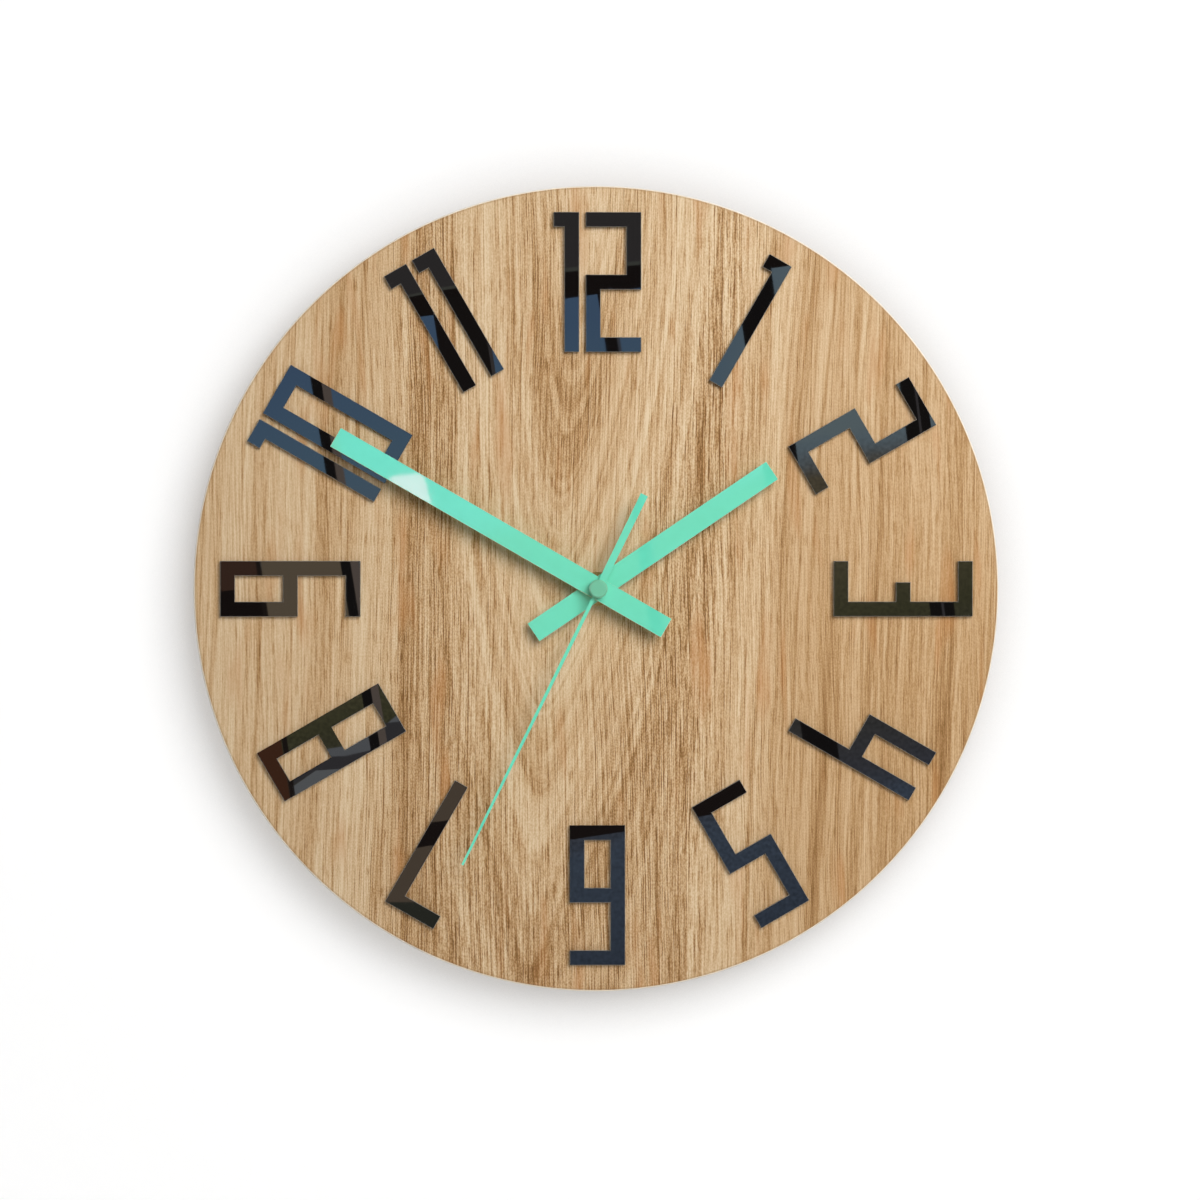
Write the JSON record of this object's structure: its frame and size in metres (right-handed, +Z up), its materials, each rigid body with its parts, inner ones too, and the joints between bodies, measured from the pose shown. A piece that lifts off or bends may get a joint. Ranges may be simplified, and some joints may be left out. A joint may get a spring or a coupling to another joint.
{
  "type": "wall clock",
  "caption": "Round oak wall clock with glossy black block numerals, mint-green bar hands, a thin second hand, and a battery quartz movement with a hanging loop behind the dial.",
  "frame": {"origin": "where the axis of the hands meets the wall plane, on the rear face of the movement case", "axes": "+Z up through the 12, +X to the viewer's right through the 3, +Y into the wall; the dial faces -Y"},
  "size_m": [0.33, 0.0346, 0.33],
  "materials": {
    "oak": "matt clear lacquer over straight-grained oak veneer",
    "black_acrylic": "high gloss cast sheet",
    "mint_acrylic": "satin gloss",
    "mint_cap": "satin gloss",
    "case_plastic": "fine moulded texture",
    "bridge_plastic": "moulded",
    "gear_plastic": "moulded acetal",
    "brass": "turned",
    "steel": "stamped, nickel plated",
    "magnet": "sintered",
    "rubber": "moulded",
    "cell_sleeve": "plain sleeve over a steel can",
    "board": "solder mask",
    "resin": "moulded",
    "copper": "enamelled copper wire"
  },
  "bodies": {
    "clock": {"dial_disc": "oak", "numeral_1": "black_acrylic", "numeral_2": "black_acrylic", "numeral_3": "black_acrylic", "numeral_4": "black_acrylic", "numeral_5": "black_acrylic", "numeral_6": "black_acrylic", "numeral_7": "black_acrylic", "numeral_8": "black_acrylic", "numeral_9": "black_acrylic", "numeral_10_one": "black_acrylic", "numeral_10_zero": "black_acrylic", "numeral_11_left": "black_acrylic", "numeral_11_right": "black_acrylic", "numeral_12_one": "black_acrylic", "numeral_12_two": "black_acrylic", "rubber_washer": "rubber", "brass_washer": "brass", "hex_nut": "brass", "mounting_bush": "brass", "front_case": "case_plastic", "rear_case": "case_plastic", "train_bridge": "bridge_plastic", "stator": "steel", "coil_core": "steel", "coil_bobbin": "gear_plastic", "coil_winding": "copper", "circuit_board": "board", "circuit_chip": "resin", "quartz_crystal": "steel", "positive_contact": "steel", "negative_contact": "steel"},
    "minute": {"minute_hand": "mint_acrylic", "cannon_pinion": "brass"},
    "hour": {"hour_hand": "mint_acrylic", "hour_wheel": "gear_plastic"},
    "motion": {"motion_wheel": "gear_plastic"},
    "knob": {"setting_knob": "gear_plastic"},
    "second": {"second_hand": "mint_acrylic", "second_hand_cap": "mint_cap", "second_wheel": "gear_plastic"},
    "third": {"third_wheel": "gear_plastic"},
    "centre": {"centre_wheel": "gear_plastic"},
    "intermediate": {"intermediate_wheel": "gear_plastic"},
    "motor": {"rotor": "gear_plastic", "rotor_magnet": "magnet"},
    "cell": {"battery": "cell_sleeve"}
  },
  "joints": [
    {"name": "minute_turn", "type": "hinge", "parent": "clock", "child": "minute", "pos_m": [0, -0.02, 0], "axis": [0, 1, 0], "continuous": true},
    {"name": "hour_turn", "type": "hinge", "parent": "clock", "child": "hour", "pos_m": [0, -0.02, 0], "axis": [0, 1, 0], "continuous": true},
    {"name": "motion_turn", "type": "hinge", "parent": "clock", "child": "motion", "pos_m": [0.00811, -0.012, -0.00217], "axis": [0, 1, 0], "continuous": true},
    {"name": "knob_turn", "type": "hinge", "parent": "clock", "child": "knob", "pos_m": [0.01639, -0.005, -0.00363], "axis": [0, 1, 0], "continuous": true},
    {"name": "second_turn", "type": "hinge", "parent": "clock", "child": "second", "pos_m": [0, -0.02, 0], "axis": [0, 1, 0], "continuous": true},
    {"name": "third_turn", "type": "hinge", "parent": "clock", "child": "third", "pos_m": [-0.00566, -0.008, 0.00566], "axis": [0, 1, 0], "continuous": true},
    {"name": "centre_turn", "type": "hinge", "parent": "clock", "child": "centre", "pos_m": [0, -0.0097, 0], "axis": [0, 1, 0], "continuous": true},
    {"name": "intermediate_turn", "type": "hinge", "parent": "clock", "child": "intermediate", "pos_m": [0.00538, -0.005, 0.00538], "axis": [0, 1, 0], "continuous": true},
    {"name": "rotor_turn", "type": "hinge", "parent": "clock", "child": "motor", "pos_m": [0.01214, -0.005, 0.00784], "axis": [0, 1, 0], "continuous": true},
    {"name": "cell_slide", "type": "slide", "parent": "clock", "child": "cell", "axis": [0, 1, 0], "range_m": [0, 0.02]}
  ],
  "couplings": [
    {"joint": "hour_turn", "follows": "minute_turn", "ratio": 0.083333},
    {"joint": "motion_turn", "follows": "minute_turn", "ratio": -0.33333},
    {"joint": "knob_turn", "follows": "minute_turn", "ratio": 1},
    {"joint": "third_turn", "follows": "second_turn", "ratio": -0.125},
    {"joint": "centre_turn", "follows": "second_turn", "ratio": 0.016667},
    {"joint": "intermediate_turn", "follows": "second_turn", "ratio": -6},
    {"joint": "rotor_turn", "follows": "second_turn", "ratio": 30}
  ]
}
